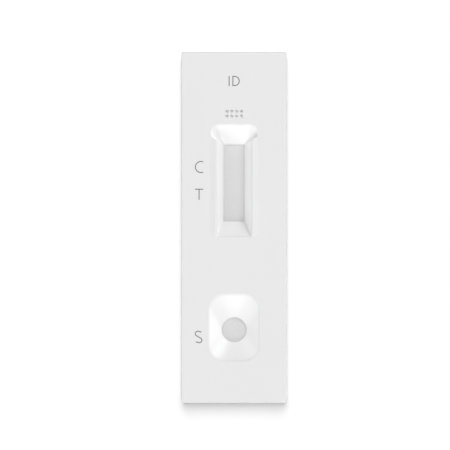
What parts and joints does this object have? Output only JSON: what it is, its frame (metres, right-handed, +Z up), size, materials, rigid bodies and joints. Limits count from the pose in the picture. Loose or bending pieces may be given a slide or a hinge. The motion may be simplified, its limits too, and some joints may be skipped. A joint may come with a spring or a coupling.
{
  "type": "lateral flow cassette",
  "caption": "Flat two-part plastic cassette for a lateral flow test, with a reading window, a sample well and a layered paper strip inside.",
  "frame": {"origin": "on the underside, at the middle of the case's width and length", "axes": "+X across the case, +Y along it from the sample well towards the absorbent end, +Z up through the face with the window"},
  "size_m": [0.021, 0.07, 0.0051],
  "materials": {
    "shell_plastic": "white moulded polystyrene with a fine satin texture",
    "card_plastic": "smooth white sheet",
    "membrane": "fine matt white membrane",
    "glass_fibre": "matt glass fibre",
    "cellulose": "matt blotting paper"
  },
  "bodies": {
    "root": {"bottom_shell": "shell_plastic", "top_shell": "shell_plastic", "backing_card": "card_plastic", "nitrocellulose_membrane": "membrane", "conjugate_pad": "glass_fibre", "sample_pad": "cellulose", "absorbent_pad": "cellulose"}
  },
  "joints": []
}
